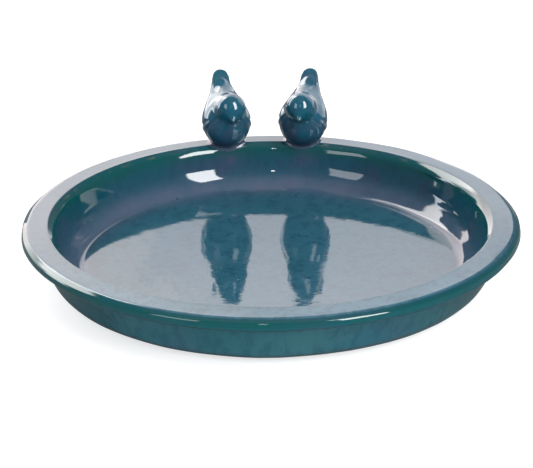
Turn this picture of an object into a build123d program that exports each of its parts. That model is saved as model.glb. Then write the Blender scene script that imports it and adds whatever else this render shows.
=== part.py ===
"""Glazed ceramic bird bath: a shallow dished basin with a flat rim and two
small birds luted side by side onto the rim.

Frame: origin at the centre of the foot ring's resting plane, +Z up,
-Y is the front, the birds stand on the rim at the back (+Y) and face the
middle of the dish. Millimetres.
"""
import os
from math import cos, sin, tan, radians, sqrt, hypot
from build123d import *

os.makedirs("parts", exist_ok=True)

# ------------------------------------------------------------ driving sizes
H_RIM = 40.0          # resting plane to the top of the rim
R_LIP = 165.0         # outermost radius of the rim
R_RIM_OUT = 160.3     # where the flat of the rim starts to roll over
R_RIM_IN = 145.5      # where the flat of the rim rolls into the dish
R_EDGE = 5.0          # radius of the inner roll
LIP_MID = 4.1         # depth of the lip's widest line below the rim top
LIP_THICK = 8.4       # thickness of the rim's overhang
WALL_TOP = (151.8, -10.4)   # outer wall meets the overhang (radius, below rim)
WALL_LEAN = 17.1      # inner wall, degrees from upright
R_WALL_LOW = 136.3    # inner wall ends, cove begins
Z_WALL_LOW = -17.9
R_COVE = 11.8         # cove between the wall and the floor
FLOOR_SPHERE = 1270.0  # the floor is a very shallow bowl of this radius
R_FLOOR = 126.2       # radius where the cove runs into the floor
Z_FLOOR_EDGE = -26.4  # floor height there, below the rim top
BASE_CORNER = (141.5, -37.7)  # outer wall line meets the underside
R_BASE_FILLET = 13.8
Z_BASE = -37.7        # underside outside the foot ring, below the rim top
FOOT_OUT = 129.5      # foot ring, outer and inner radius
FOOT_IN = 118.0
FOOT_ROUND = 1.2
RECESS_MID = 1.5      # height of the recessed underside at the middle
RECESS_EDGE = 5.2     # and just inside the foot ring

# Each bird: name, turn about the dish's axis from the back centre line (+ is
# towards -X), extra turn of the body about its own upright axis, extra turn
# of the head, sideways lean of the head. They come from one mould and are set
# and dressed by hand, so they differ a little.
BIRDS = [("left_bird", 10.8, 0.5, -4.0, 1.4), ("right_bird", -10.4, -4.5, 8.0, 1.0)]
BODY_R = 148.5        # the body's centre: radius from the dish's axis
BODY_Z = 14.0         # and height above the rim top
TAIL_TILT = 49.5      # tail axis above horizontal, degrees
# the bird's teardrop body: distance along the tail axis, half width
BODY_PROFILE = [(-17.2, 0.0), (-15.8, 6.6), (-12.2, 12.0), (-6.4, 15.8),
                (0.0, 16.9), (5.0, 16.2), (9.0, 15.1), (13.0, 13.4),
                (17.0, 11.5), (21.0, 9.4), (25.0, 7.8), (29.0, 6.4),
                (32.5, 5.0), (34.6, 3.2), (35.4, 0.0)]
HEAD_R = 138.8        # the head's centre: radius from the axis
HEAD_Z = 28.3         # and height above the rim top
HEAD_RAD = 10.6
NECK_RAD = 12.0       # ball that fills the neck
BEAK_REACH = 14.6     # head centre to beak tip
BEAK_DROP = 24.0      # beak below horizontal, degrees
BEAK_BASE_RAD = 4.4
BEAK_TIP_RAD = 0.9
TAIL_ROOT = (162.0, 38.2)   # upper face of the flat tail end: radius, height
TAIL_RISE = 45.0      # its slope above horizontal
TAIL_LENGTH = 13.4
TAIL_ROOT_WIDTH = 12.2
TAIL_TIP_WIDTH = 10.2
TAIL_THICK = 5.6
WING_PROUD = 0.9      # how far the folded wings stand off the breast
BIRD_WALL = 3.6       # thickness of the hollow bird
POUR_HOLE_RAD = 4.4   # casting hole under the bird, hidden on the rim
POUR_HOLE_R = 150.6   # its radius from the dish's axis
VENT_RAD = 1.6        # vent from the hollow bird down through the rim
VENT_R = 153.4        # where it starts on the rim top
VENT_TILT = 28.0      # it leans outwards, to come out under the overhang
SLIP_MAJOR = 9.6      # coil of slip round the foot of each bird: ring radius
SLIP_MINOR = 2.4      # and the coil's own radius
SLIP_R = 149.5        # the ring's centre, radius from the dish's axis
SLIP_Z = -0.9         # and height above the rim top
SLIP_DIP = 5.5        # the ring's tilt towards the dish, degrees


# ------------------------------------------------------------ basin
def basin_profile():
    """Half section of the basin, in the XZ plane, heights from the foot."""
    h = H_RIM
    a = radians(WALL_LEAN)
    edge_c = (R_RIM_IN, h - R_EDGE)
    e0 = (R_RIM_IN, h)
    e1 = (edge_c[0] - R_EDGE * cos(a), edge_c[1] + R_EDGE * sin(a))
    em_a = radians(90 + (90 - WALL_LEAN) / 2)
    em = (edge_c[0] + R_EDGE * cos(em_a), edge_c[1] + R_EDGE * sin(em_a))
    w1 = (R_WALL_LOW, h + Z_WALL_LOW)
    f1 = (R_FLOOR, h + Z_FLOOR_EDGE)
    slope = R_FLOOR / FLOOR_SPHERE
    sag = R_FLOOR ** 2 / (2 * FLOOR_SPHERE)
    f0 = (0.0, f1[1] - sag)
    fm = (R_FLOOR / 2, f0[1] + (R_FLOOR / 2) ** 2 / (2 * FLOOR_SPHERE))
    lip_r = (LIP_THICK - 0.3) / 2
    # rim roll: from the flat, round the lip, back under the overhang
    l0 = (R_RIM_OUT, h)
    l1 = (R_LIP, h - LIP_MID)
    l2 = (R_LIP - 4.4, h - LIP_THICK)
    t = (WALL_TOP[0], h + WALL_TOP[1])
    bc = (BASE_CORNER[0], h + BASE_CORNER[1])
    # outer wall direction and base fillet, tangent to wall and underside
    wl = hypot(t[0] - bc[0], t[1] - bc[1])
    ux, uz = (t[0] - bc[0]) / wl, (t[1] - bc[1]) / wl
    from math import atan2
    corner = atan2(uz, ux)                 # wall's angle above horizontal
    setback = R_BASE_FILLET / tan((3.141592653589793 - corner) / 2)
    b1 = (bc[0] + ux * setback, bc[1] + uz * setback)
    b0 = (bc[0] - setback, bc[1])
    cen = (b0[0], b0[1] + R_BASE_FILLET)
    mid_a = (-3.141592653589793 / 2 + (corner - 3.141592653589793 / 2)) / 2
    bm = (cen[0] + R_BASE_FILLET * cos(mid_a), cen[1] + R_BASE_FILLET * sin(mid_a))
    fr = FOOT_ROUND
    with BuildLine(Plane.XZ) as ln:
        Line((0, RECESS_MID), f0)
        ThreePointArc(f0, fm, f1)
        # cove, tangent to floor and wall
        TangentArc(f1, w1, tangent=(1, slope))
        Line(w1, e1)
        ThreePointArc(e1, em, e0)
        Line(e0, l0)
        Spline([l0, (R_RIM_OUT + 2.9, h - 0.95), l1, (R_LIP - 1.35, h - LIP_MID - 3.2), l2],
               tangents=[(1, 0), (-1, 0.0)])
        # hollow under the overhang, then the outer wall
        Spline([l2, (155.6, h - LIP_THICK - 0.15), t], tangents=[(-1, 0), (-ux, -uz)])
        Line(t, b1)
        ThreePointArc(b1, bm, b0)
        Line(b0, (FOOT_OUT, bc[1]))
        Line((FOOT_OUT, bc[1]), (FOOT_OUT, fr))
        ThreePointArc((FOOT_OUT, fr), (FOOT_OUT - fr * (1 - cos(radians(45))), fr * (1 - sin(radians(45)))), (FOOT_OUT - fr, 0))
        Line((FOOT_OUT - fr, 0), (FOOT_IN + fr, 0))
        ThreePointArc((FOOT_IN + fr, 0), (FOOT_IN + fr * (1 - cos(radians(45))), fr * (1 - sin(radians(45)))), (FOOT_IN, fr))
        Line((FOOT_IN, fr), (FOOT_IN - 0.9, RECESS_EDGE))
        Spline([(FOOT_IN - 0.9, RECESS_EDGE), (FOOT_IN / 2, RECESS_MID + (RECESS_EDGE - RECESS_MID) * 0.27), (0, RECESS_MID)],
               tangents=[(-1, -0.05), (-1, 0)])
    return ln


bp = basin_profile()
basin_blank = Solid.revolve(Face(Wire(bp.edges())), 360, Axis.Z)


# ------------------------------------------------------------ birds
# A bird is modelled on the +Y centre line (X across, Y = radius, Z up from
# the resting plane) and then turned about the dish's axis into its place.
def pt(r, z, x=0.0):
    return Vector(x, r, H_RIM + z)


AX = Vector(0, cos(radians(TAIL_TILT)), sin(radians(TAIL_TILT)))
UP = Vector(0, -sin(radians(TAIL_TILT)), cos(radians(TAIL_TILT)))
BODY_C = pt(BODY_R, BODY_Z)


def teardrop(grow):
    """The body of revolution about the tail axis, grown by an offset."""
    pts = []
    last = len(BODY_PROFILE) - 1
    for i, (s, w) in enumerate(BODY_PROFILE):
        s0, w0 = BODY_PROFILE[max(i - 1, 0)]
        s1, w1 = BODY_PROFILE[min(i + 1, last)]
        if i == 0:
            n = (-1.0, 0.0)
        elif i == last:
            n = (1.0, 0.0)
        else:
            d = hypot(s1 - s0, w1 - w0)
            n = (-(w1 - w0) / d, (s1 - s0) / d)
        pts.append((s + n[0] * grow, w + n[1] * grow))
    edge = [BODY_C + AX * s + UP * w for s, w in pts]
    curve = Edge.make_spline(edge, tangents=[UP, UP * -1])
    closing = Edge.make_line(edge[-1], edge[0])
    return Solid.revolve(Face(Wire([curve, closing])), 360, Axis(BODY_C, AX))


def ball(c, r):
    return Solid.make_sphere(r, Plane(origin=c), -90, 90, 360)


def side_prism(outline, half):
    """Prism across the bird from a side-view outline of (radius, height)."""
    w = Wire.make_polygon([pt(r, z, -half) for r, z in outline], close=True)
    return Solid.extrude(Face(w), Vector(2 * half, 0, 0))


# side-view outline of the folded wings and back
WING_OUTLINE = [(133.5, 26.0), (136.0, 20.8), (139.8, 15.4), (144.6, 10.6),
                (150.0, 8.2), (156.0, 9.4), (161.5, 15.0), (165.5, 22.5),
                (169.0, 30.0), (175.0, 36.0), (166.0, 60.0), (133.5, 60.0)]


def tail_end():
    """The flat, blunt end of the tail: a tapered slab with a round end."""
    t = Vector(0, cos(radians(TAIL_RISE)), sin(radians(TAIL_RISE)))
    n = Vector(0, -sin(radians(TAIL_RISE)), cos(radians(TAIL_RISE)))
    top = Plane(origin=pt(*TAIL_ROOT), x_dir=Vector(1, 0, 0), z_dir=n)
    if top.y_dir.dot(t) < 0:
        top = Plane(origin=pt(*TAIL_ROOT), x_dir=Vector(-1, 0, 0), z_dir=n)
    a, b, ln = TAIL_ROOT_WIDTH / 2, TAIL_TIP_WIDTH / 2, TAIL_LENGTH
    back = -7.0
    flare = (a - b) / ln
    p = [(-a - flare * 7.0, back), (a + flare * 7.0, back), (b, ln - b * 0.86), (0, ln), (-b, ln - b * 0.86)]
    p = [top.from_local_coords(Vector(u, v)) for u, v in p]
    e = [Edge.make_line(p[0], p[1]), Edge.make_line(p[1], p[2]),
         Edge.make_three_point_arc(p[2], p[3], p[4]), Edge.make_line(p[4], p[0])]
    slab = Solid.extrude(Face(Wire(e)), n * -TAIL_THICK)
    rims = [q for q in slab.edges() if q.center().dot(n) > top.origin.dot(n) - 0.01
            and q.center().dot(t) > top.origin.dot(t) - 6.5]
    return slab.fillet(1.1, rims)


def head_parts(head_turn, lean):
    hc = pt(HEAD_R, HEAD_Z, lean)
    a, b = radians(head_turn), radians(BEAK_DROP)
    d = Vector(sin(a) * cos(b), -cos(a) * cos(b), -sin(b))
    tip = hc + d * (BEAK_REACH - BEAK_TIP_RAD)
    base = hc + d * (HEAD_RAD - 4.4)
    beak = Solid.make_cone(BEAK_BASE_RAD, BEAK_TIP_RAD, (tip - base).length, Plane(origin=base, z_dir=d))
    return ball(hc, HEAD_RAD) + beak + ball(tip, BEAK_TIP_RAD + 0.03)


def bird_outer(head_turn, lean):
    core = teardrop(0.0)
    wings = teardrop(WING_PROUD) & side_prism(WING_OUTLINE, 40)
    neck = ball(pt((HEAD_R + BODY_R) / 2 - 0.6, (HEAD_Z + BODY_Z) / 2 + 0.4, lean * 0.6), NECK_RAD)
    return core + wings + neck + head_parts(head_turn, lean) + tail_end()


def bird_cavity():
    body = ball(BODY_C, BODY_PROFILE[4][1] - BIRD_WALL)
    tail = Solid.make_cone(BODY_PROFILE[4][1] - BIRD_WALL - 1.2, 3.4, 21.0,
                           Plane(origin=BODY_C + AX * 4.0, z_dir=AX))
    head = ball(pt(HEAD_R + 0.6, HEAD_Z - 0.6), HEAD_RAD - BIRD_WALL)
    neck = ball(pt((HEAD_R + BODY_R) / 2, (HEAD_Z + BODY_Z) / 2 + 0.4), NECK_RAD - BIRD_WALL)
    pour = Solid.make_cylinder(POUR_HOLE_RAD, BODY_Z + 6.0, Plane(origin=pt(POUR_HOLE_R, -6.0)))
    return body + tail + head + neck + pour


def yawed(s, yaw):
    """Turned about the bird's own upright axis, still on the +Y centre line."""
    return s.moved(Location(Vector(0, BODY_R, 0)) * Location((0, 0, 0), (0, 0, yaw)) * Location(Vector(0, -BODY_R, 0)))


def turned(s, turn):
    """Turned about the dish's axis into its place on the rim."""
    return s.moved(Location((0, 0, 0), (0, 0, turn)))


def vent():
    a = radians(VENT_TILT)
    d = Vector(0, sin(a), -cos(a))
    return Solid.make_cylinder(VENT_RAD, 22.0, Plane(origin=pt(VENT_R, 0) - d * 3.0, z_dir=d))


def slip_ring(bird):
    """Coil of slip pressed into the corner where the bird meets the rim. It
    dips at the front, where the breast hangs over the rim's inner roll."""
    lie = Plane(origin=pt(SLIP_R, SLIP_Z), x_dir=Vector(1, 0, 0),
                z_dir=Vector(0, -sin(radians(SLIP_DIP)), cos(radians(SLIP_DIP))))
    return Solid.make_torus(SLIP_MAJOR, SLIP_MINOR, lie) - bird - basin_blank


basin = basin_blank
parts = {}
outers = {}
for name, turn, yaw, head_turn, lean in BIRDS:
    outer = yawed(bird_outer(head_turn, lean), yaw)
    shell = outer - yawed(bird_cavity(), yaw) - basin_blank
    ring = slip_ring(outer)
    outers[name] = turned(outer, turn)
    parts[name] = turned(shell, turn)
    parts[name + "_slip_joint"] = turned(ring, turn)
    basin = basin - turned(vent(), turn)
parts["basin"] = basin

for node, shape in parts.items():
    solids = shape.solids()
    assert len(solids) == 1, (node, len(solids))
    body = solids[0]
    assert body.is_valid, node
    body.label = node
    export_step(body, "parts/" + node + ".step")
    print(node, round(body.volume, 1), body.bounding_box())
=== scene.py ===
"""Looks of the glazed ceramic bird bath: a dished basin with a flat rim and
two small birds luted onto it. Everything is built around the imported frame.
Lengths in the helper code are millimetres; meshes are written in metres."""

import math

import bmesh
import bpy
import numpy as np
from mathutils import Matrix, Vector


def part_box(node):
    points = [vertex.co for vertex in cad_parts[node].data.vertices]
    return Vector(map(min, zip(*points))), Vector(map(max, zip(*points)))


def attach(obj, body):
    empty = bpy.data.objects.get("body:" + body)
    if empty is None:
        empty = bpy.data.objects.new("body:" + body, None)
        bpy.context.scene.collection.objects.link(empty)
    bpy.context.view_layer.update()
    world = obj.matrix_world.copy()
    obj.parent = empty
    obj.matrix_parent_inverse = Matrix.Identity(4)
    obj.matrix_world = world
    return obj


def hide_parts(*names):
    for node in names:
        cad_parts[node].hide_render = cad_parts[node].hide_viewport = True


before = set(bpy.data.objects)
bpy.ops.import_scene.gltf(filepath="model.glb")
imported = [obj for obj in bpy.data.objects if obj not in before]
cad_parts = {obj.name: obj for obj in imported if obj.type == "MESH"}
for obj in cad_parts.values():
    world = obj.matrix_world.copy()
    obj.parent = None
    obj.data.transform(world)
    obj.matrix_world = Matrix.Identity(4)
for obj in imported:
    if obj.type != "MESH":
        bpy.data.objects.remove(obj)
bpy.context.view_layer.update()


MM = 0.001

# ---------------------------------------------------------------- sizes (mm)
BASIN_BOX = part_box("basin")
H = (BASIN_BOX[1][2]) / MM                  # top of the rim above the foot
R_LIP, R_RIM_OUT, R_RIM_IN, R_EDGE = 163.0, 156.8, 145.5, 1.4
LIP_MID, LIP_THICK = 6.2, 9.3
WALL_TOP = (151.55, -11.2)
WALL_LEAN = 17.1
R_WALL, Z_WALL, Z_WALL_LOW = 136.3, -17.9, -15.6
R_COVE_TOP, COVE_BEVEL, R_COVE_LOW = 19.0, 45.0, 10.0
Z_FLOOR, FLOOR_SPHERE = -34.8, 1550.0
BASE_CORNER, R_BASE_FILLET = (141.5, -37.7), 13.8
FOOT_OUT, FOOT_IN, FOOT_ROUND = 129.5, 118.0, 1.2
RECESS_MID, RECESS_EDGE = 1.5, 5.2

BIRDS = [("left_bird", 10.8, 0.5, -4.0, 1.4), ("right_bird", -10.4, -6.6, 9.0, 1.0)]
BODY_R, BODY_Z, TAIL_TILT = 148.5, 14.0, 49.5
BODY_PROFILE = [(-17.2, 0.0), (-15.8, 6.6), (-12.2, 12.0), (-6.4, 15.8),
                (0.0, 16.9), (5.0, 16.2), (9.0, 15.1), (13.0, 13.4),
                (17.0, 11.5), (21.0, 9.4), (25.0, 7.8), (29.0, 6.4),
                (32.5, 5.0), (34.6, 3.2), (35.4, 0.0)]
HEAD_R, HEAD_Z, HEAD_RAD, NECK_RAD = 138.8, 28.3, 10.6, 12.0
BEAK_REACH, BEAK_DROP = 14.6, 24.0
TAIL_ROOT, TAIL_RISE, TAIL_LENGTH, TAIL_THICK = (162.0, 38.2), 45.0, 13.4, 5.6
TAIL_ROOT_WIDTH, TAIL_TIP_WIDTH = 13.0, 11.2
WING_OUTLINE = [(133.5, 26.0), (136.0, 20.8), (139.8, 15.4), (144.6, 10.6),
                (150.0, 8.2), (156.0, 9.4), (161.5, 15.0), (165.5, 22.5),
                (169.0, 30.0), (175.0, 36.0), (166.0, 60.0), (133.5, 60.0)]
BIRD_WALL, POUR_HOLE_RAD, POUR_HOLE_R = 3.6, 4.4, 150.6
VENT_RAD, VENT_R, VENT_TILT = 1.6, 153.4, 28.0


# ---------------------------------------------------------------- curve helpers
def hermite(p, q, tp, tq, n):
    """Points on a cubic from p to q with end tangents tp and tq, p included."""
    t = np.linspace(0, 1, n, endpoint=False)[:, None]
    h00, h10 = 2 * t**3 - 3 * t**2 + 1, t**3 - 2 * t**2 + t
    h01, h11 = -2 * t**3 + 3 * t**2, t**3 - t**2
    return h00 * np.array(p) + h10 * np.array(tp) + h01 * np.array(q) + h11 * np.array(tq)


def arc(c, r, a0, a1, n):
    a = np.radians(np.linspace(a0, a1, n, endpoint=False))
    return np.stack([c[0] + r * np.cos(a), c[1] + r * np.sin(a)], 1)


def line(p, q, n):
    t = np.linspace(0, 1, n, endpoint=False)[:, None]
    return (1 - t) * np.array(p, float) + t * np.array(q, float)


def smoothstep(x, a, b):
    t = np.clip((x - a) / (b - a), 0, 1)
    return t * t * (3 - 2 * t)


# ---------------------------------------------------------------- basin section
def basin_section(front=False):
    """Half section from the middle of the underside, out and over the rim, to
    the middle of the floor: points (radius, height) and a region name each."""
    h = H
    a = math.radians(WALL_LEAN)
    pts, reg = [], []

    def add(name, p):
        pts.append(np.asarray(p, float))
        reg.extend([name] * len(p))

    add("under", hermite((0, RECESS_MID), (FOOT_IN - 2.6, RECESS_EDGE - 0.25), (60, 0), (70, 9), 46))
    add("under", hermite((FOOT_IN - 2.6, RECESS_EDGE - 0.25), (FOOT_IN - 0.6, RECESS_EDGE - 2.4), (2.6, 0.3), (0.4, -2.6), 8))
    add("foot", line((FOOT_IN - 0.6, RECESS_EDGE - 2.4), (FOOT_IN, FOOT_ROUND), 4))
    add("foot", arc((FOOT_IN + FOOT_ROUND, FOOT_ROUND), FOOT_ROUND, 180, 270, 7))
    add("foot", line((FOOT_IN + FOOT_ROUND, 0), (FOOT_OUT - FOOT_ROUND, 0), 8))
    add("foot", arc((FOOT_OUT - FOOT_ROUND, FOOT_ROUND), FOOT_ROUND, 270, 360, 7))
    bc = (BASE_CORNER[0], h + BASE_CORNER[1])
    t = (WALL_TOP[0], h + WALL_TOP[1])
    corner = math.atan2(t[1] - bc[1], t[0] - bc[0])
    ux, uz = math.cos(corner), math.sin(corner)
    setback = R_BASE_FILLET / math.tan((math.pi - corner) / 2)
    b0 = (bc[0] - setback, bc[1])
    b1 = (bc[0] + ux * setback, bc[1] + uz * setback)
    add("foot", line((FOOT_OUT, FOOT_ROUND), (FOOT_OUT, bc[1] - 0.5), 3))
    add("base", hermite((FOOT_OUT, bc[1] - 0.5), (FOOT_OUT + 1.0, bc[1]), (0, 0.9), (1.2, 0), 4))
    add("base", line((FOOT_OUT + 1.0, bc[1]), b0, 3))
    add("base", arc((b0[0], b0[1] + R_BASE_FILLET), R_BASE_FILLET, -90, math.degrees(corner) - 90, 18))
    add("outer", line(b1, t, 22))
    l2 = (R_LIP - 4.4, h - LIP_THICK)
    add("hollow", hermite(t, (155.4, l2[1] - 0.12), (ux * 3.2, uz * 3.2), (5.4, 0.4), 10))
    add("lip", hermite((155.4, l2[1] - 0.12), l2, (3.2, 0.15), (3.2, 0.2), 5))
    m = (R_LIP, h - LIP_MID)
    add("lip", hermite(l2, m, (5.6, 0.5), (0, 4.4), 14))
    # an upright face, a tight edge, then a bevel up to the flat of the rim
    rim_end = (R_RIM_OUT - 0.6, h)
    if front:
        # towards the front the rim falls away a little and ends in a tight edge
        rim_end = (R_LIP - 5.2, h - 0.7)
        add("lip", line(m, (R_LIP - 0.5, h - 4.0), 4))
        add("lip", hermite((R_LIP - 0.5, h - 4.0), (R_LIP - 1.2, h - 2.75), (-0.15, 1.3), (-1.0, 0.75), 8))
        add("lip", line((R_LIP - 1.2, h - 2.75), (R_LIP - 3.4, h - 1.3), 8))
        add("lip", hermite((R_LIP - 3.4, h - 1.3), rim_end, (-1.0, 0.65), (-1.6, 0.06), 8))
    else:
        add("lip", line(m, (R_LIP - 0.05, h - 4.9), 4))
        add("lip", hermite((R_LIP - 0.05, h - 4.9), (R_LIP - 0.75, h - 3.75), (0, 1.5), (-1.15, 1.05), 8))
        add("lip", line((R_LIP - 0.75, h - 3.75), (R_LIP - 4.1, h - 0.75), 8))
        add("lip", hermite((R_LIP - 4.1, h - 0.75), rim_end, (-1.9, 1.7), (-2.4, 0.05), 8))
    add("rim", line(rim_end, (R_RIM_IN, h), 14))
    ta, ca = math.sin(a), math.cos(a)
    wall_r = lambda z: R_WALL + (z - Z_WALL) * math.tan(a)
    e1 = (wall_r(-5.4), h - 5.4)
    # a crisp first edge, then a long soft roll into the wall
    turn = math.radians(38)
    e0 = (R_RIM_IN - R_EDGE * math.sin(turn), h - R_EDGE * (1 - math.cos(turn)))
    add("roll", arc((R_RIM_IN, h - R_EDGE), R_EDGE, 90, 128, 8))
    add("roll", hermite(e0, e1, (-6.6 * math.cos(turn), -6.6 * math.sin(turn)), (-ta * 8.6, -ca * 8.6), 24))
    # the cove: a wide round below the wall, a short bevel, then a tight round
    # into the shallow bowl of the floor
    floor_z = lambda r: Z_FLOOR + r * r / (2 * FLOOR_SPHERE)
    b = math.radians(COVE_BEVEL)
    w1 = (wall_r(Z_WALL_LOW), h + Z_WALL_LOW)
    c1 = (w1[0] - R_COVE_TOP * ca, w1[1] + R_COVE_TOP * ta)
    k1 = (c1[0] + R_COVE_TOP * math.cos(b), c1[1] - R_COVE_TOP * math.sin(b))
    lo, hi = 0.0, 14.0
    for _ in range(50):
        run = (lo + hi) / 2
        k2 = (k1[0] - run * math.sin(b), k1[1] - run * math.cos(b))
        c2 = (k2[0] - R_COVE_LOW * math.cos(b), k2[1] + R_COVE_LOW * math.sin(b))
        r_f = c2[0] / (1 + R_COVE_LOW / math.hypot(FLOOR_SPHERE, c2[0]))
        gap = math.hypot(c2[0] - r_f, c2[1] - h - floor_z(r_f)) - R_COVE_LOW
        lo, hi = (run, hi) if gap > 0 else (lo, run)
    slope = r_f / FLOOR_SPHERE
    add("wall", line(e1, w1, 12))
    cove = np.concatenate([arc(c1, R_COVE_TOP, -WALL_LEAN, -COVE_BEVEL, 18), line(k1, k2, 8),
                           arc(c2, R_COVE_LOW, -COVE_BEVEL, -90 + math.degrees(math.atan(slope)), 26)])
    ker = np.hanning(9) / np.hanning(9).sum()
    soft = np.stack([np.convolve(np.pad(cove[:, k], 4, mode="reflect", reflect_type="odd"), ker, "valid") for k in (0, 1)], 1)
    add("cove", soft)
    rr = np.concatenate([np.linspace(r_f, 20, 58, endpoint=False), np.linspace(20, 0, 12)])
    add("floor", np.stack([rr, h + floor_z(rr)], 1))
    return np.concatenate(pts), np.array(reg)


SECTION, REGION = basin_section()
FRONT_SECTION = basin_section(front=True)[0]


# ---------------------------------------------------------------- handmade unevenness
class Waves:
    """Smooth seeded noise: a sum of plane waves in space, value about +-1."""

    def __init__(self, seed, wavelength, count=14, spread=0.35, flat=False):
        rng = np.random.default_rng(seed)
        d = rng.normal(size=(count, 3))
        if flat:
            d[:, 2] *= 0.25
        d /= np.linalg.norm(d, axis=1)[:, None]
        k = 2 * math.pi / (wavelength * np.exp(rng.normal(size=count) * spread))
        self.k = d * k[:, None]
        self.p = rng.uniform(0, 2 * math.pi, count)
        self.n = math.sqrt(count / 2.0)

    def __call__(self, P):
        out = np.zeros(len(P))
        for k, p in zip(self.k, self.p):
            out += np.sin(P @ k + p)
        return out / self.n


def grid_mesh(name, verts, faces):
    me = bpy.data.meshes.new(name)
    me.from_pydata([tuple(v) for v in verts], [], [tuple(int(i) for i in f) for f in faces])
    me.validate(clean_customdata=False)
    me.update()
    ob = bpy.data.objects.new(name, me)
    bpy.context.scene.collection.objects.link(ob)
    return ob


def set_attr(ob, name, values):
    at = ob.data.attributes.new(name, "FLOAT", "POINT")
    at.data.foreach_set("value", np.asarray(values, np.float32))


def shade_smooth(ob):
    ob.data.polygons.foreach_set("use_smooth", np.ones(len(ob.data.polygons), bool))
    ob.data.update()


def section_normals(p):
    d = np.gradient(p, axis=0)
    d /= np.linalg.norm(d, axis=1)[:, None]
    return np.stack([d[:, 1], -d[:, 0]], 1)


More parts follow.
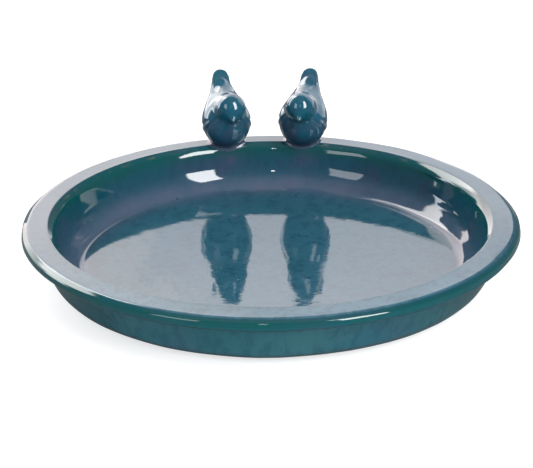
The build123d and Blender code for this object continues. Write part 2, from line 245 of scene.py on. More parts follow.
def build_basin():
    n_t = 540
    p, reg = SECTION, REGION
    nrm = section_normals(p)
    th = np.linspace(0, 2 * math.pi, n_t, endpoint=False) - math.pi / 2
    inner = slice(1, len(p) - 1)
    P2, N2, G2 = p[inner], nrm[inner], reg[inner]
    m = len(P2)
    c, s = np.cos(th), np.sin(th)
    V = np.zeros((m, n_t, 3)); N = np.zeros_like(V)
    # the lip was finished by hand: blunter behind, tighter in front, and a
    # shade narrower on the left
    w = 1 - smoothstep(s, -0.25, 0.45)
    F2, FN = FRONT_SECTION[inner], section_normals(FRONT_SECTION)[inner]
    rz = P2[:, None, :] * (1 - w)[None, :, None] + F2[:, None, :] * w[None, :, None]
    nz = N2[:, None, :] * (1 - w)[None, :, None] + FN[:, None, :] * w[None, :, None]
    nz /= np.linalg.norm(nz, axis=2)[:, :, None]
    rz[:, :, 0] -= 0.9 * smoothstep(rz[:, :, 0], 152.0, 161.0) * (smoothstep(-c, 0.3, 0.9) * (1 - smoothstep(s, -0.05, 0.35)))[None, :]
    V[:, :, 0] = rz[:, :, 0] * c; V[:, :, 1] = rz[:, :, 0] * s; V[:, :, 2] = rz[:, :, 1]
    N[:, :, 0] = nz[:, :, 0] * c; N[:, :, 1] = nz[:, :, 0] * s; N[:, :, 2] = nz[:, :, 1]
    flat = V.reshape(-1, 3)
    amp_long = {"under": .15, "foot": 0.0, "base": .12, "outer": .16, "hollow": .12, "lip": .12, "rim": .05,
                "roll": .10, "wall": .16, "cove": .18, "floor": .05}
    amp_mid = {"under": .04, "foot": 0.0, "base": .03, "outer": .035, "hollow": .03, "lip": .03, "rim": .006,
               "roll": .02, "wall": .03, "cove": .03, "floor": .010}
    al = np.array([amp_long[g] for g in G2]); am = np.array([amp_mid[g] for g in G2])
    ker = np.hanning(9); ker /= ker.sum()
    al = np.convolve(np.pad(al, 4, mode="edge"), ker, "valid")
    am = np.convolve(np.pad(am, 4, mode="edge"), ker, "valid")
    al[G2 == "foot"] = 0; am[G2 == "foot"] = 0
    w1 = Waves(11, 95.0, flat=True)(flat).reshape(m, n_t)
    w2 = Waves(12, 24.0)(flat).reshape(m, n_t)
    off = al[:, None] * w1 + am[:, None] * w2
    V = V + N * off[:, :, None]
    verts = np.concatenate([V.reshape(-1, 3), [[0, 0, p[0, 1]], [0, 0, p[-1, 1]]]])
    i = np.arange(m - 1)[:, None] * n_t; j = np.arange(n_t)[None, :]; j2 = (j + 1) % n_t
    quads = np.stack([i + j, i + j2, i + n_t + j2, i + n_t + j], -1).reshape(-1, 4)
    faces = [list(q) for q in quads]
    a, b = m * n_t, m * n_t + 1
    for q in range(n_t):
        faces.append([a, (q + 1) % n_t, q])
        faces.append([b, (m - 1) * n_t + q, (m - 1) * n_t + (q + 1) % n_t])
    ob = grid_mesh("basin_body", verts * MM, faces)

    # masks: where the glaze breaks thin, where it pools, where the clay is bare; the pool mask also paints fill light
    # into the hollow under the lip, and the flat mask paints a reflection on the front of the rim
    def near(rz, width):
        return np.exp(-(np.hypot(P2[:, 0] - rz[0], P2[:, 1] - rz[1]) / width) ** 2)

    thin = np.maximum(near((R_RIM_IN - 1.6, H - 0.4), 2.2), 0.75 * near((R_LIP - 0.4, H - 2.2), 2.4))
    thin = np.maximum(thin, 0.5 * near((R_LIP - 2.2, H - LIP_THICK + 0.8), 1.8))
    edge = near((R_RIM_IN - 3.0, H - 1.1), 0.9)
    green = np.maximum(near((R_RIM_IN - 4.2, H - 3.8), 5.2), near((R_LIP - 0.4, H - 4.0), 3.8))
    # first term: glaze pooled in the cove; second term: the hollow under the lip made paler, painted fill light over
    # the shade there
    pool_and_painted_fill = np.maximum(near((128.0, H - 26.5), 9.0), near((153.6, H - 10.2), 2.6))
    dish = smoothstep(-P2[:, 1] * (P2[:, 0] < 140) + H * (P2[:, 0] < 140), 20.0, 29.0) * (N2[:, 1] > 0)
    dish = np.maximum(dish, 0.8 * smoothstep(P2[:, 0], 143.5, 147.0) * smoothstep(P2[:, 1], H - 1.6, H - 0.1))
    skirt = smoothstep(P2[:, 0], 134.0, 139.0) * smoothstep(-P2[:, 1], -(H - 6.5), -(H - 12.0)) * (N2[:, 0] > 0)
    down = smoothstep(-P2[:, 1], -(H - 0.5), -(H - 3.0)) * (1 - smoothstep(-P2[:, 1], -(H - 13.0), -(H - 20.0))) * (P2[:, 0] < 146) * (N2[:, 1] > 0)
    run = np.zeros(len(down) * n_t)
    for bird in BIRDS:
        off_deg = np.degrees(np.angle(np.exp(1j * (th - math.pi / 2 - math.radians(bird[1])))))
        run = np.maximum(run, (down[:, None] * np.exp(-(off_deg[None, :] / 4.6) ** 2)).ravel())
    set_attr(ob, "run", np.concatenate([run, [0, 0]]))
    # a painted reflection: the rim top made paler on its front half only, towards the camera
    level = smoothstep(P2[:, 0], 143.5, 147.0) * smoothstep(P2[:, 1], H - 1.6, H - 0.1)
    front_rim_painted_sheen = (level[:, None] * smoothstep(-s, 0.1, 0.9)[None, :]).ravel()
    set_attr(ob, "flat", np.concatenate([front_rim_painted_sheen, [0, 0]]))
    bare = np.where((G2 == "foot"), 1.0, 0.0)
    bare = np.convolve(np.pad(bare, 1, mode="edge"), [0.2, 0.6, 0.2], "valid")
    for nm, v in (("thin", thin), ("edge", edge), ("green", green), ("pool_and_painted_fill", pool_and_painted_fill), ("dish", dish), ("skirt", skirt), ("bare", bare)):
        full = np.repeat(v, n_t)
        set_attr(ob, nm, np.concatenate([full, [v[0], v[-1]]]))
    shade_smooth(ob)
    return ob


# ---------------------------------------------------------------- distance tables
class Table:
    """Bilinear lookup of a scalar on a regular 2-D grid."""

    def __init__(self, lo, hi, step, fn):
        self.lo, self.step = np.array(lo, float), step
        n = [int(round((hi[k] - lo[k]) / step)) + 1 for k in range(2)]
        a = lo[0] + np.arange(n[0]) * step
        b = lo[1] + np.arange(n[1]) * step
        A, B = np.meshgrid(a, b, indexing="ij")
        self.v = fn(np.stack([A.ravel(), B.ravel()], 1)).reshape(n).astype(np.float32)

    def __call__(self, a, b):
        u = np.clip((a - self.lo[0]) / self.step, 0, self.v.shape[0] - 1.001)
        w = np.clip((b - self.lo[1]) / self.step, 0, self.v.shape[1] - 1.001)
        i, j = u.astype(np.int32), w.astype(np.int32)
        fu, fw = (u - i).astype(np.float32), (w - j).astype(np.float32)
        v = self.v
        return (v[i, j] * (1 - fu) * (1 - fw) + v[i + 1, j] * fu * (1 - fw)
                + v[i, j + 1] * (1 - fu) * fw + v[i + 1, j + 1] * fu * fw)


def poly_distance(P, poly, closed=False):
    """Unsigned distance from points to a polyline."""
    best = np.full(len(P), 1e9)
    q = np.vstack([poly, poly[:1]]) if closed else poly
    for a, b in zip(q[:-1], q[1:]):
        ab = b - a
        L = ab @ ab
        if L < 1e-12:
            continue
        t = np.clip(((P - a) @ ab) / L, 0, 1)
        d = np.hypot(P[:, 0] - a[0] - t * ab[0], P[:, 1] - a[1] - t * ab[1])
        best = np.minimum(best, d)
    return best


def inside(P, poly):
    x, y = P[:, 0], P[:, 1]
    res = np.zeros(len(P), bool)
    for (x0, y0), (x1, y1) in zip(poly, np.roll(poly, -1, axis=0)):
        if y0 == y1:
            continue
        c = ((y0 > y) != (y1 > y)) & (x < (x1 - x0) * (y - y0) / (y1 - y0) + x0)
        res ^= c
    return res


def signed(P, poly):
    d = poly_distance(P, poly, closed=True)
    return np.where(inside(P, poly), -d, d)


def monotone_curve(pts, n=240):
    """A smooth curve through a list of 2-D points (centripetal Catmull-Rom)."""
    p = np.array(pts, float)
    t = np.concatenate([[0], np.cumsum(np.linalg.norm(np.diff(p, axis=0), axis=1) ** 0.5)])
    first, last = 2 * p[0] - p[1], 2 * p[-1] - p[-2]
    # end points mirrored so that a closed-of-revolution profile ends square
    first = np.array([p[1][0], -p[1][1]]) if abs(p[0][1]) < 1e-9 else first
    last = np.array([p[-2][0], -p[-2][1]]) if abs(p[-1][1]) < 1e-9 else last
    q = np.vstack([first, p, last])
    tq = np.concatenate([[t[0] - (t[1] - t[0])], t, [t[-1] + (t[-1] - t[-2])]])
    out = []
    for u in np.linspace(t[0], t[-1], n):
        i = min(max(np.searchsorted(tq, u, side="right") - 1, 1), len(q) - 3)
        t0, t1, t2, t3 = tq[i - 1], tq[i], tq[i + 1], tq[i + 2]
        p0, p1, p2, p3 = q[i - 1], q[i], q[i + 1], q[i + 2]
        a1 = (t1 - u) / (t1 - t0) * p0 + (u - t0) / (t1 - t0) * p1
        a2 = (t2 - u) / (t2 - t1) * p1 + (u - t1) / (t2 - t1) * p2
        a3 = (t3 - u) / (t3 - t2) * p2 + (u - t2) / (t3 - t2) * p3
        b1 = (t2 - u) / (t2 - t0) * a1 + (u - t0) / (t2 - t0) * a2
        b2 = (t3 - u) / (t3 - t1) * a2 + (u - t1) / (t3 - t1) * a3
        out.append((t2 - u) / (t2 - t1) * b1 + (u - t1) / (t2 - t1) * b2)
    return np.array(out)


def smin(a, b, k):
    h = np.maximum(k - np.abs(a - b), 0) / k
    return np.minimum(a, b) - h * h * k * 0.25


def smax(a, b, k):
    return -smin(-a, -b, k)


BODY_CURVE = monotone_curve(BODY_PROFILE)
BODY_TABLE = Table((-30, 0), (50, 34), 0.25, lambda P: signed(P, np.vstack([BODY_CURVE, BODY_CURVE[::-1] * [1, -1]])))
WING_POLY = np.vstack([monotone_curve(WING_OUTLINE[:10], 90), WING_OUTLINE[10:]])
WING_TABLE = Table((118, -8), (184, 66), 0.25, lambda P: -signed(P, WING_POLY))
_sec = SECTION[(SECTION[:, 0] > 100)] - [0, H]
RIM_TABLE = Table((112, -14), (182, 14), 0.25, lambda P: signed(P, _sec))


def round_cone(P, a, b, r1, r2):
    """Distance to the solid swept by a ball that shrinks from r1 to r2."""
    ba = b - a
    l2 = float(ba @ ba)
    rr = r1 - r2
    a2 = l2 - rr * rr
    pa = P - a
    y = pa @ ba
    z = y - l2
    x2 = np.sum((pa * l2 - y[:, None] * ba) ** 2, axis=1)
    y2 = y * y * l2
    z2 = z * z * l2
    k = np.sign(rr) * rr * rr * x2
    d = (np.sqrt(x2 * a2 / l2) + y * rr) / l2 - r1
    far = np.sign(z) * a2 * z2 > k
    near_ = np.sign(y) * a2 * y2 < k
    d = np.where(far, np.sqrt(x2 + z2) / l2 - r2, d)
    d = np.where(near_ & ~far, np.sqrt(x2 + y2) / l2 - r1, d)
    return d


AXD = np.array([0, math.cos(math.radians(TAIL_TILT)), math.sin(math.radians(TAIL_TILT))])
UPD = np.array([0, -math.sin(math.radians(TAIL_TILT)), math.cos(math.radians(TAIL_TILT))])
BODY_C = np.array([0, BODY_R, BODY_Z])


class Bird:
    """Distance field of one bird, on the +Y centre line before its turn."""

    def __init__(self, yaw, head_turn, lean, seed):
        self.yaw, self.lean = math.radians(yaw), lean
        a, b = math.radians(head_turn), math.radians(BEAK_DROP)
        self.beak_d = np.array([math.sin(a) * math.cos(b), -math.cos(a) * math.cos(b), -math.sin(b)])
        self.side_d = np.array([math.cos(a), math.sin(a), 0.0])
        self.head = np.array([lean, HEAD_R, HEAD_Z])
        self.wave = Waves(seed, 11.0, count=10)

    def own(self, P):
        c, s = math.cos(-self.yaw), math.sin(-self.yaw)
        x, y = P[:, 0], P[:, 1] - BODY_R
        return np.stack([c * x - s * y, s * x + c * y + BODY_R, P[:, 2]], 1)

    def outer(self, P):
        Q = self.own(P)
        q = Q - BODY_C
        s, u = q @ AXD, q @ UPD
        body = BODY_TABLE(s, np.hypot(Q[:, 0], u))
        # folded wings: a raised sheet with a rounded leading edge and a
        # shallow furrow behind it
        dw = WING_TABLE(Q[:, 1], Q[:, 2])
        flank = smoothstep(np.abs(Q[:, 0]), 2.0, 7.0)
        fore = 1 - smoothstep(Q[:, 1], 152.0, 160.0)
        h = 0.75 * smoothstep(dw, -0.5, 2.4)
        short = fore * smoothstep(Q[:, 2], 9.5, 12.0) * (1 - smoothstep(Q[:, 2], 17.5, 21.0))
        h = h + flank * (0.25 * np.exp(-((dw - 8.5) / 5.0) ** 2) - short * 0.9 * np.exp(-((dw - 4.9) / 1.5) ** 2))
        body = body - h
        # the back runs nearly level from the crown of the head to the tail
        body = smin(body, round_cone(Q, np.array([0, 146.0, 25.6]), np.array([0, 160.0, 31.9]), 11.4, 6.2), 2.5)
        neck_c = np.array([self.lean * 0.6, (HEAD_R + BODY_R) / 2 - 0.6, (HEAD_Z + BODY_Z) / 2 + 0.4])
        neck = np.linalg.norm(Q - neck_c, axis=1) - (NECK_RAD - 0.9)
        f = smin(body, neck, 2.6)
        # head, a little longer than wide, drawn into the beak
        hq = Q - self.head
        fwd = hq @ self.beak_d
        lat = hq @ self.side_d
        head = np.linalg.norm(hq, axis=1) - HEAD_RAD
        b0 = self.head + self.beak_d * 4.2
        b1 = self.head + self.beak_d * (BEAK_REACH - 0.9)
        beak = round_cone(Q, b0, b1, 6.6, 0.95)
        hb = smin(head, beak, 2.6)
        # eyes: low round beads on the sides of the head
        for sgn in (-1, 1):
            e = self.head + self.beak_d * 4.6 + self.side_d * sgn * 8.9 + np.array([0, 0, 2.9])
            e = self.head + (e - self.head) / np.linalg.norm(e - self.head) * (HEAD_RAD - 0.75)
            eye = np.linalg.norm(Q - e, axis=1) - 1.25
            hb = smin(hb, eye, 0.5)
        f = smin(f, hb, 2.6)
        # blunt flat tail end
        t = np.array([0, math.cos(math.radians(TAIL_RISE)), math.sin(math.radians(TAIL_RISE))])
        n = np.array([0, -math.sin(math.radians(TAIL_RISE)), math.cos(math.radians(TAIL_RISE))])
        tq = Q - np.array([0, TAIL_ROOT[0], TAIL_ROOT[1]])
        v, w, x = tq @ t, tq @ n, np.abs(tq[:, 0])
        a_, b_ = TAIL_ROOT_WIDTH / 2, TAIL_TIP_WIDTH / 2
        half = a_ - (a_ - b_) * v / TAIL_LENGTH
        d2 = np.where(v > TAIL_LENGTH - b_, np.hypot(x, v - (TAIL_LENGTH - b_)) - b_, x - half)
        slab = smax(d2, np.maximum(w, -w - TAIL_THICK), 0.9)
        slab = np.maximum(slab, -v - 9.0)
        f = smin(f, slab, 0.8)
        return f + 0.03 * self.wave(Q)

    def cavity(self, P):
        Q = self.own(P)
        c = np.linalg.norm(Q - BODY_C, axis=1) - (BODY_PROFILE[4][1] - BIRD_WALL)
        c = np.minimum(c, round_cone(Q, BODY_C + AXD * 4.0, BODY_C + AXD * 22.0, BODY_PROFILE[4][1] - BIRD_WALL - 1.5, 3.4))
        c = np.minimum(c, np.linalg.norm(Q - [0, HEAD_R + 0.6, HEAD_Z - 0.6], axis=1) - (HEAD_RAD - BIRD_WALL))
        c = np.minimum(c, np.linalg.norm(Q - [0, (HEAD_R + BODY_R) / 2, (HEAD_Z + BODY_Z) / 2 + 0.4], axis=1) - (NECK_RAD - BIRD_WALL))
        pour = np.maximum(np.hypot(Q[:, 0], Q[:, 1] - POUR_HOLE_R) - POUR_HOLE_RAD, Q[:, 2] - 10.0)
        return np.minimum(c, pour)


def rim_field(P):
    return RIM_TABLE(np.hypot(P[:, 0], P[:, 1]), P[:, 2])


def surface_nets(fn, lo, hi, step, project=3, chunk=400000):
    """Quads on the zero surface of fn, over the box lo..hi."""
    lo = np.array(lo, float); hi = np.array(hi, float)
    n = np.ceil((hi - lo) / step).astype(int) + 1
    ax = [lo[k] + np.arange(n[k]) * step for k in range(3)]
    X, Y, Z = np.meshgrid(*ax, indexing="ij")
    G = np.stack([X.ravel(), Y.ravel(), Z.ravel()], 1)
    F = np.concatenate([fn(G[i:i + chunk]) for i in range(0, len(G), chunk)]).reshape(n).astype(np.float32)
    S = F < 0
    cells = [m - 1 for m in n]
    cnt = np.zeros(cells, np.int8); acc = np.zeros(cells + [3], np.float32)

    def sl(o, k):
        return slice(o[k], o[k] + cells[k])

    corners = [(i, j, k) for i in (0, 1) for j in (0, 1) for k in (0, 1)]
    for c0 in corners:
        for axis in range(3):
            if c0[axis]:
                continue
            c1 = list(c0); c1[axis] = 1
            A = F[sl(c0, 0), sl(c0, 1), sl(c0, 2)]
            B = F[sl(c1, 0), sl(c1, 1), sl(c1, 2)]
            cross = (A < 0) != (B < 0)
            t = np.where(cross, A / np.where(cross, A - B, 1), 0)
            cnt += cross
            for k in range(3):
                base = c0[k]
                acc[..., k] += cross * (base + (t if k == axis else 0))
    used = cnt > 0
    idx = np.full(cells, -1, np.int64)
    idx[used] = np.arange(used.sum())
    ijk = np.stack(np.nonzero(used), 1)
    V = lo + (ijk + acc[used] / cnt[used][:, None]) * step
    faces = []
    for axis in range(3):
        a1, a2 = [(1, 2), (2, 0), (0, 1)][axis]
        s0 = [slice(None)] * 3; s1 = [slice(None)] * 3
        s0[axis] = slice(0, n[axis] - 1); s1[axis] = slice(1, n[axis])
        for k in (a1, a2):
            s0[k] = s1[k] = slice(1, n[k] - 1)
        A, B = S[tuple(s0)], S[tuple(s1)]
        e = np.nonzero(A != B)
        at = [e[0], e[1], e[2]]
        for k in (a1, a2):
            at[k] = at[k] + 1
        inside_low = A[e]
        quad = []
        for d1, d2 in ((0, 0), (1, 0), (1, 1), (0, 1)):
            q = [at[0].copy(), at[1].copy(), at[2].copy()]
            q[a1] = q[a1] - 1 + d1; q[a2] = q[a2] - 1 + d2
            quad.append(idx[q[0], q[1], q[2]])
        quad = np.stack(quad, 1)
        quad[~inside_low] = quad[~inside_low][:, ::-1]
        faces.append(quad)
    faces = np.concatenate(faces)
    for _ in range(project):
        f = fn(V)
        g = np.stack([(fn(V + [e if k == q else 0 for q in range(3)]) - fn(V - [e if k == q else 0 for q in range(3)])) / (2 * e)
                      for k, e in ((0, .05), (1, .05), (2, .05))], 1)
        gn = np.maximum(np.sum(g * g, axis=1), 0.25)
        V = V - g * np.clip(f / gn, -0.2, 0.2)[:, None]
    return V, faces


def turn_about_axis(V, turn):
    a = math.radians(turn)
    c, s = math.cos(a), math.sin(a)
    return np.stack([c * V[:, 0] - s * V[:, 1], s * V[:, 0] + c * V[:, 1], V[:, 2] + H], 1)


def curvature(fn, V, d=0.9):
    """Laplacian of the field: positive where the surface bulges."""
    f0 = fn(V)
    lap = -6 * f0
    for k in range(3):
        e = np.zeros(3); e[k] = d
        lap = lap + fn(V + e) + fn(V - e)
    return lap / d**2


def build_bird(name, turn, yaw, head_turn, lean, seed):
    bird = Bird(yaw, head_turn, lean, seed)
    step = 0.42

    def shell(P):
        return np.maximum(np.maximum(bird.outer(P), -bird.cavity(P)), -rim_field(P))

    V, F = surface_nets(shell, (-24, 121, -6), (24, 177, 51), step)
    ob = grid_mesh(name + "_body", turn_about_axis(V, turn) * MM, F)
    lap = curvature(bird.outer, V)
    set_attr(ob, "thin", smoothstep(lap, 0.38, 1.3))
    set_attr(ob, "edge", smoothstep(lap, 0.9, 2.2))
    set_attr(ob, "green", smoothstep(lap, 0.25, 0.7) * 0.6)
    set_attr(ob, "pool_and_painted_fill", smoothstep(-lap, -0.02, 0.35))
    set_attr(ob, "dish", np.zeros(len(V)))
    set_attr(ob, "skirt", np.zeros(len(V)))
    set_attr(ob, "flat", np.zeros(len(V)))
    # the glaze gathers, and turns violet, on the breast
    set_attr(ob, "run", 0.62 * (1 - smoothstep(V[:, 2], 13.0, 23.0)) * (1 - smoothstep(V[:, 1], 150.0, 162.0)))
    set_attr(ob, "bare", np.clip((bird.outer(V) < -0.8).astype(float), 0, 1))
    shade_smooth(ob)

    def slip(P):
        o, r = bird.outer(P), rim_field(P)
        k = 3.4
        f = smin(o, r, k)
        f = np.maximum(f, -(o + 0.9))
        f = np.maximum(f, -(r + 0.9))
        return np.maximum(f, np.maximum(o, r) - 0.93 * k)

    V2, F2 = surface_nets(slip, (-18, 128, -10), (18, 167, 8), 0.32)
    sj = grid_mesh(name + "_slip", turn_about_axis(V2, turn) * MM, F2)
    for nm, v in (("thin", 0), ("edge", 0), ("green", 0.15), ("pool_and_painted_fill", 1.0), ("dish", 0), ("skirt", 0), ("flat", 0), ("run", 0.5), ("bare", 0)):
        set_attr(sj, nm, np.full(len(V2), float(v)))
    shade_smooth(sj)
    return ob, sj


# ---------------------------------------------------------------- materials
def node_tools(tree):
    def new(kind, **values):
        n = tree.nodes.new(kind)
        for k, v in values.items():
            setattr(n, k, v)
        return n

    def put(socket, value):
        if hasattr(value, "links") and hasattr(value, "is_output"):
            tree.links.new(value, socket)
        else:
            socket.default_value = value

    def math_(op, a, b=0.0, c=None, clamp=False):
        n = new("ShaderNodeMath", operation=op, use_clamp=clamp)
        put(n.inputs[0], a); put(n.inputs[1], b)
        if c is not None:
            put(n.inputs[2], c)
        return n.outputs[0]

    def ramp(x, a, b, lo=0.0, hi=1.0, smooth=True):
        n = new("ShaderNodeMapRange", interpolation_type="SMOOTHSTEP" if smooth else "LINEAR")
        put(n.inputs["Value"], x)
        n.inputs["From Min"].default_value = a; n.inputs["From Max"].default_value = b
        n.inputs["To Min"].default_value = lo; n.inputs["To Max"].default_value = hi
        return n.outputs["Result"]

    return new, put, math_, ramp


def glaze(name, tint=(1, 1, 1), purple=0.5, streaks=0.5, floor_pits=True, seed=0.0, dark=1.0):
    mat = bpy.data.materials.new(name)
    mat.use_nodes = True
    t = mat.node_tree
    t.nodes.clear()
    new, put, m, ramp = node_tools(t)

    def mix(f, a, b):
        n = new("ShaderNodeMix", data_type="RGBA", clamp_factor=True)
        put(n.inputs[0], f)
        for sock, v in ((n.inputs[6], a), (n.inputs[7], b)):
            put(sock, (v[0] * tint[0], v[1] * tint[1], v[2] * tint[2], 1.0) if isinstance(v, tuple) else v)
        return n.outputs[2]

    def attr(n_):
        a = new("ShaderNodeAttribute", attribute_type="GEOMETRY", attribute_name=n_)
        return a.outputs["Fac"]

    co = new("ShaderNodeTexCoord").outputs["Object"]
    mp = new("ShaderNodeMapping")
    put(mp.inputs["Vector"], co)
    mp.inputs["Location"].default_value = (seed, seed * 0.7, seed * 1.3)
    P = mp.outputs["Vector"]

    def noise(scale, detail=3.0, rough=0.55, dist=0.0, vec=None):
        n = new("ShaderNodeTexNoise")
        put(n.inputs["Vector"], P if vec is None else vec)
        n.inputs["Scale"].default_value = scale
        n.inputs["Detail"].default_value = detail
        n.inputs["Roughness"].default_value = rough
        n.inputs["Distortion"].default_value = dist
        return n.outputs["Fac"]

    # slow drift of the glaze between teal, blue and a violet cast
    col = mix(ramp(noise(9.0, 3.0), 0.36, 0.64), (0.0045 * dark, 0.044 * dark, 0.060 * dark), (0.0055 * dark, 0.047 * dark, 0.078 * dark))
    col = mix(m("MULTIPLY", ramp(noise(14.0, 4.0, 0.6, 0.4), 0.50, 0.72), 0.7), col, (0.002 * dark, 0.041 * dark, 0.045 * dark))
    vio = m("MULTIPLY", ramp(noise(19.0, 4.0, 0.62, 0.8), 0.48, 0.68), purple)
    col = mix(vio, col, (0.026, 0.034, 0.070))
    # it lies thick and a little milky over the floor of the dish
    col = mix(m("MULTIPLY", attr("dish"), ramp(noise(11.0, 3.0), 0.3, 0.7, 0.75, 1.0)), col, (0.019, 0.070, 0.102))
    # paler still on the front of the rim: a painted reflection, on the side towards the camera only
    col = mix(m("MULTIPLY", attr("flat"), ramp(noise(26.0, 3.0), 0.3, 0.7, 0.55, 0.95)), col, (0.046, 0.112, 0.150))
    # and greyer where it ran thin down the outside
    col = mix(m("MULTIPLY", attr("skirt"), ramp(noise(13.0, 3.0), 0.3, 0.7, 0.45, 0.95)), col, (0.016, 0.066, 0.078))
    # violet where extra glaze ran down below the birds
    col = mix(m("MULTIPLY", attr("run"), ramp(noise(70.0, 4.0, 0.6, 0.5), 0.35, 0.62, 0.15, 0.95)), col, (0.034, 0.040, 0.080))
    # fine mottling of the melt, drawn out along the run of the glaze
    st = new("ShaderNodeMapping")
    put(st.inputs["Vector"], co)
    st.inputs["Scale"].default_value = (1.0, 1.0, 0.28)
    fine = noise(160.0, 5.0, 0.62, 0.3, st.outputs["Vector"])
    col = mix(m("MULTIPLY", ramp(fine, 0.45, 0.64), 0.5 * streaks + 0.1), col, (0.0035, 0.030, 0.050))
    col = mix(m("MULTIPLY", ramp(noise(240.0, 4.0, 0.7), 0.56, 0.74), 0.22), col, (0.014, 0.058, 0.083))
    # thick pools turn a milky lilac blue, and the same colour is painted into the hollow under the lip as painted
    # fill light over its shade; thin rolls turn green, sharp edges break tan
    col = mix(m("MULTIPLY", attr("pool_and_painted_fill"), m("MULTIPLY_ADD", noise(40.0, 3.0), 1.0, 0.22), clamp=True), col, (0.052, 0.066, 0.108))
    col = mix(m("MULTIPLY", attr("green"), m("MULTIPLY_ADD", noise(60.0, 3.0), 0.8, 0.35), clamp=True), col, (0.0005, 0.050, 0.048))
    worn = m("MULTIPLY", attr("edge"), ramp(noise(70.0, 4.0, 0.65), 0.50, 0.72), clamp=True)
    col = mix(m("MULTIPLY", worn, 0.75), col, (0.105, 0.095, 0.065))
    # pin holes
    vor = new("ShaderNodeTexVoronoi", feature="F1", distance="EUCLIDEAN")
    put(vor.inputs["Vector"], P)
    vor.inputs["Scale"].default_value = 95.0
    pick = m("GREATER_THAN", new_sep(t, vor.outputs["Color"], 0), 0.955)
    pin = m("MULTIPLY", ramp(vor.outputs["Distance"], 0.055, 0.105, 1.0, 0.0), pick)
    col = mix(m("MULTIPLY", pin, 0.75), col, (0.003, 0.009, 0.012))
    # bare clay
    clay = mix(ramp(noise(220.0, 6.0, 0.7), 0.35, 0.68), (0.21 / tint[0], 0.095 / tint[1], 0.048 / tint[2]), (0.30 / tint[0], 0.16 / tint[1], 0.088 / tint[2]))
    bare = ramp(m("ADD", attr("bare"), m("MULTIPLY", m("SUBTRACT", noise(120.0, 3.0), 0.5), 0.5)), 0.38, 0.52)
    col = mix(bare, col, clay)

    bs = new("ShaderNodeBsdfPrincipled")
    put(bs.inputs["Base Color"], col)
    bs.inputs["IOR"].default_value = 1.5
    rough = m("ADD", ramp(noise(30.0, 3.0), 0.3, 0.7, 0.030, 0.060), m("MULTIPLY", bare, 0.72), clamp=True)
    put(bs.inputs["Roughness"], rough)
    # orange-peel ripple of the melt, pin holes and clay grain
    hgt = m("ADD", m("MULTIPLY", noise(130.0, 2.0, 0.5), 0.00011), m("MULTIPLY", noise(420.0, 2.0, 0.5), 0.000010))
    hgt = m("SUBTRACT", hgt, m("MULTIPLY", pin, 0.00025))
    hgt = m("ADD", hgt, m("MULTIPLY", bare, m("MULTIPLY", noise(900.0, 4.0, 0.7), 0.0006)))
    bp = new("ShaderNodeBump")
    bp.inputs["Strength"].default_value = 0.35
    bp.inputs["Distance"].default_value = 1.0
    put(bp.inputs["Height"], hgt)
    put(bs.inputs["Normal"], bp.outputs["Normal"])
    out = new("ShaderNodeOutputMaterial")
    t.links.new(bs.outputs["BSDF"], out.inputs["Surface"])
    return mat


def new_sep(tree, colour, index):
    n = tree.nodes.new("ShaderNodeSeparateColor")
    tree.links.new(colour, n.inputs[0])
    return n.outputs[index]


# ---------------------------------------------------------------- build
basin = build_basin()
basin.data.materials.append(glaze("glaze_basin", purple=0.55, streaks=0.6))
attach(basin, "root"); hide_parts("basin")

bird_objects = []
bird_mat = glaze("glaze_bird", purple=0.35, streaks=0.4, seed=3.1, dark=1.4)
slip_mat = glaze("glaze_slip", purple=0.7, streaks=0.3, seed=1.7)
for k, (name, turn, yaw, head_turn, lean) in enumerate(BIRDS):
    body, joint = build_bird(name, turn, yaw, head_turn, lean, 40 + k)
    body.data.materials.append(bird_mat)
    joint.data.materials.append(slip_mat)
    bird_objects.append(body)
    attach(body, "root"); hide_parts(name)
    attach(joint, "root"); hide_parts(name + "_slip_joint")

# ---------------------------------------------------------------- floor
fl = grid_mesh("floor", np.array([[-9, -9, 0], [9, -9, 0], [9, 9, 0], [-9, 9, 0]], float), [[0, 1, 2, 3]])
fm = bpy.data.materials.new("floor_paper")
fm.use_nodes = True
ft = fm.node_tree
fb = ft.nodes["Principled BSDF"]
fb.inputs["Base Color"].default_value = (0.42, 0.42, 0.42, 1)
fb.inputs["Roughness"].default_value = 0.9
fb.inputs["Specular IOR Level"].default_value = 0.0
# white paper, lit from above its own level as a light table is: seen directly
# it keeps only a faint shadow, mirrored in the glaze it is dimmer
fb.inputs["Emission Color"].default_value = (1.0, 1.0, 1.0, 1)
fb.inputs["Emission Strength"].default_value = 0.66
ray = ft.nodes.new("ShaderNodeLightPath")


def paper(kind, tone, under, flag):
    d = ft.nodes.new(kind)
    d.inputs["Color"].default_value = (tone, tone, tone, 1)
    mixer = ft.nodes.new("ShaderNodeMixShader")
    ft.links.new(ray.outputs[flag], mixer.inputs[0])
    ft.links.new(under, mixer.inputs[1])
    ft.links.new(d.outputs[0], mixer.inputs[2])
    return mixer.outputs[0]


seen = paper("ShaderNodeEmission", 3.2, fb.outputs[0], "Is Diffuse Ray")
seen = paper("ShaderNodeBsdfDiffuse", 0.19, seen, "Is Glossy Ray")
ft.links.new(seen, ft.nodes["Material Output"].inputs["Surface"])
fl.data.materials.append(fm)

# ---------------------------------------------------------------- light
# Directions: azimuth 0 is the camera side (-Y), +90 is +X; elevation above the floor.
AMBIENT = (0.20, 0.22, 0.24)
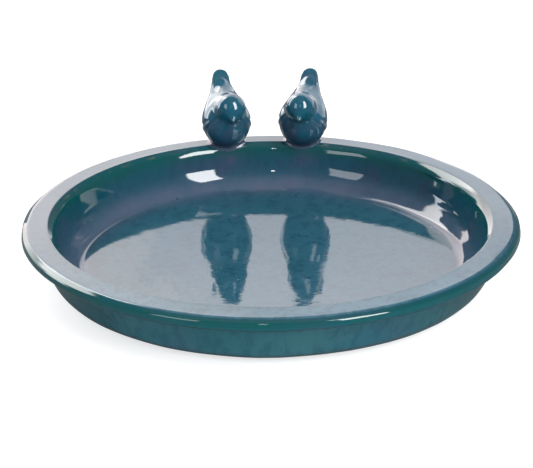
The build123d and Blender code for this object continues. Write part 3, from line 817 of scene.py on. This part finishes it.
# azimuth from, its lean per degree of rise, azimuth to, its lean, softness,
# elevation from, to, softness, radiance
LIGHTS = [
    (-57.0, -0.10, -33.0, -0.15, 0.8, 16.3, 43.0, 0.8, (4.6, 4.6, 4.8)),
    (30.0, 0.10, 51.5, 0.20, 0.8, 16.3, 58.0, 0.8, (19.0, 19.0, 19.0)),
    (-5.4, 0.0, -2.6, 0.0, 0.4, 36.0, 38.5, 0.4, (60.0, 60.0, 60.0)),
    (-151.0, 0.0, -113.0, -0.5, 2.5, 27.0, 56.0, 3.0, (9.0, 8.7, 8.4)),
    (-118.0, -0.15, -101.0, -0.5, 1.5, 1.0, 27.0, 1.5, (7.4, 7.7, 8.2)),
    (-150.0, 0.0, -120.0, 0.0, 5.0, -30.0, 27.0, 4.0, (3.0, 2.9, 2.8)),
    (-176.0, 0.0, -146.0, 0.0, 8.0, -20.0, 50.0, 6.0, (1.0, 0.8, 0.8)),
]
BACK = [(-154.0, -138.0, 1.0, 0.0, 42.0, 60.0, (2.22, 2.02, 1.97)),
        (163.0, 171.0, 0.0, 1.0, 40.0, 56.0, (2.05, 1.9, 1.95))]
OVERHEAD = (50.0, 75.0, (0.30, 0.32, 0.34))

world = bpy.data.worlds.new("studio")
bpy.context.scene.world = world
world.use_nodes = True
wt = world.node_tree
wt.nodes.clear()
new, put, m_, ramp = node_tools(wt)
sep = new("ShaderNodeSeparateXYZ")
wt.links.new(new("ShaderNodeTexCoord").outputs["Generated"], sep.inputs[0])
az = m_("MULTIPLY", m_("ARCTAN2", sep.outputs[0], m_("MULTIPLY", sep.outputs[1], -1.0)), 180 / math.pi)
el = m_("MULTIPLY", m_("ARCSINE", sep.outputs[2]), 180 / math.pi)


def scaled(f, rgb, onto):
    n = new("ShaderNodeVectorMath", operation="MULTIPLY_ADD")
    c = new("ShaderNodeCombineXYZ")
    for k in range(3):
        put(c.inputs[k], f)
    wt.links.new(c.outputs[0], n.inputs[0])
    n.inputs[1].default_value = rgb
    if isinstance(onto, tuple):
        n.inputs[2].default_value = onto
    else:
        wt.links.new(onto, n.inputs[2])
    return n.outputs[0]


total = AMBIENT
for a0, k0, a1, k1, s, e0, e1, se, rgb in LIGHTS:
    rise = m_("SUBTRACT", el, max(e0, 0.0))
    left_ = m_("SUBTRACT", az, m_("MULTIPLY", rise, k0))
    right_ = m_("SUBTRACT", az, m_("MULTIPLY", rise, k1))
    f = m_("MULTIPLY", m_("MULTIPLY", ramp(left_, a0 - s, a0 + s), ramp(right_, a1 - s, a1 + s, 1, 0)),
           m_("MULTIPLY", ramp(el, e0 - se, e0 + se), ramp(el, e1 - se, e1 + se, 1, 0)))
    total = scaled(f, rgb, total)
for a0, a1, v0, v1, e0, e1, rgb in BACK:
    total = scaled(m_("MULTIPLY", ramp(az, a0, a1, v0, v1), ramp(el, e0, e1, 1, 0)), rgb, total)
total = scaled(ramp(el, OVERHEAD[0], OVERHEAD[1]), OVERHEAD[2], total)
bg = new("ShaderNodeBackground")
wt.links.new(total, bg.inputs["Color"])
plain_bg = new("ShaderNodeBackground")
plain_bg.inputs["Color"].default_value = (0.93, 0.93, 0.93, 1)
lp = new("ShaderNodeLightPath")
mx = new("ShaderNodeMixShader")
wt.links.new(lp.outputs["Is Camera Ray"], mx.inputs[0])
wt.links.new(bg.outputs[0], mx.inputs[1])
wt.links.new(plain_bg.outputs[0], mx.inputs[2])
wo = new("ShaderNodeOutputWorld")
wt.links.new(mx.outputs[0], wo.inputs["Surface"])

# Three soft sheets close behind the birds light only them: they stand nearer
# to the backdrop than the dish does and mirror more of it.
birds_only = bpy.data.collections.new("birds_only")
for ob in bird_objects:
    birds_only.objects.link(ob)
# azimuth, elevation, half spread across and up (degrees), radiance
SHEETS = [(133.0, 12.0, 31.0, 38.0, 2.0), (-133.0, 14.0, 31.0, 38.0, 1.7), (180.0, 55.0, 34.0, 8.5, 1.7)]
aim = Vector((0.0, BODY_R * MM, H * MM + 0.02))
for k, (a_, e_, wide, tall, rad) in enumerate(SHEETS):
    a_, e_ = math.radians(a_), math.radians(e_)
    d = Vector((math.sin(a_) * math.cos(e_), -math.cos(a_) * math.cos(e_), math.sin(e_)))
    lamp = bpy.data.lights.new("sheet_%d" % k, "AREA")
    lamp.shape = "RECTANGLE"
    lamp.color = (1.0, 0.96, 0.98)
    lamp.size, lamp.size_y = 1.6 * math.tan(math.radians(wide)), 1.6 * math.tan(math.radians(tall))
    lamp.energy = rad * math.pi * lamp.size * lamp.size_y
    ob = bpy.data.objects.new("sheet_%d" % k, lamp)
    bpy.context.scene.collection.objects.link(ob)
    ob.matrix_world = Matrix.Translation(aim + d * 0.8) @ d.to_track_quat("Z", "Y").to_matrix().to_4x4()
    ob.visible_camera = False
    ob.visible_diffuse = False
    ob.light_linking.receiver_collection = birds_only

# ---------------------------------------------------------------- camera
CAM_D, CAM_EL, CAM_AZ, CAM_ROLL = 1.36255, 21.736, 1.03, 0.583
F_PX, TARGET_PX = 2082.73, (270.0, 215.99)
e, a = math.radians(CAM_EL), math.radians(CAM_AZ)
centre = Vector((0, 0, H * MM))
pos = centre + CAM_D * Vector((-math.cos(e) * math.sin(a), -math.cos(e) * math.cos(a), math.sin(e)))
cam_data = bpy.data.cameras.new("camera")
cam = bpy.data.objects.new("camera", cam_data)
bpy.context.scene.collection.objects.link(cam)
cam_data.sensor_fit = "HORIZONTAL"
cam_data.sensor_width = 36.0
cam_data.lens = F_PX / 533.0 * 36.0
look = (centre - pos).normalized().to_track_quat("-Z", "Y").to_matrix().to_4x4()
roll = Matrix.Rotation(-math.radians(CAM_ROLL), 4, "Z")
cam.matrix_world = Matrix.Translation(pos) @ look @ roll
cam_data.shift_x = -(TARGET_PX[0] - 266.5) / 533.0
cam_data.shift_y = (TARGET_PX[1] - 234.0) / 533.0
cam_data.clip_start, cam_data.clip_end = 0.05, 60.0
cam_data.dof.use_dof = False
bpy.context.scene.camera = cam
sc = bpy.context.scene
sc.view_settings.view_transform = "Standard"
sc.view_settings.look = "None"
